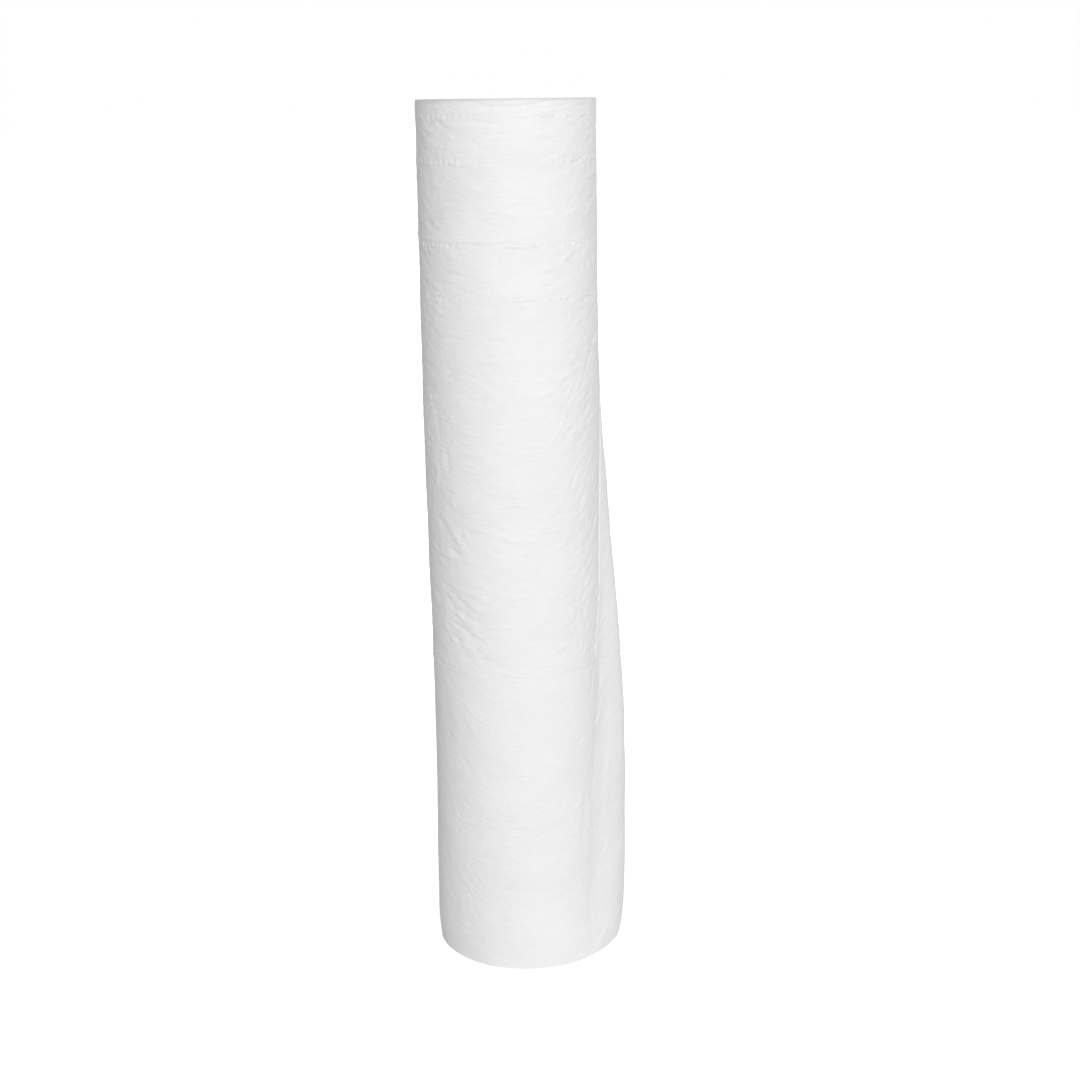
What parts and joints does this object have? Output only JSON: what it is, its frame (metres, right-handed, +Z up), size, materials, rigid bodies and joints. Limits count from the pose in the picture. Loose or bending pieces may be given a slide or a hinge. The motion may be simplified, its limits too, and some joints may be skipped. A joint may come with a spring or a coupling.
{
  "type": "wide paper towel roll",
  "caption": "Tall roll of white crêped two-ply paper towel on a board core, standing on end, with its last turn come loose over the lower half.",
  "frame": {"origin": "the core's axis, at the end that the roll stands on", "axes": "+Z up the roll along the core, -Y the front that the picture shows, +X the side where the last turn is loose"},
  "size_m": [0.1373, 0.1254, 0.6],
  "materials": {
    "towel_paper": "matt white crêped tissue, two plies joined by rows of fine embossed ticks",
    "core_board": "matt grey-brown board, wound in a spiral"
  },
  "bodies": {
    "root": {"paper_roll": "towel_paper", "core_tube": "core_board"}
  },
  "joints": []
}
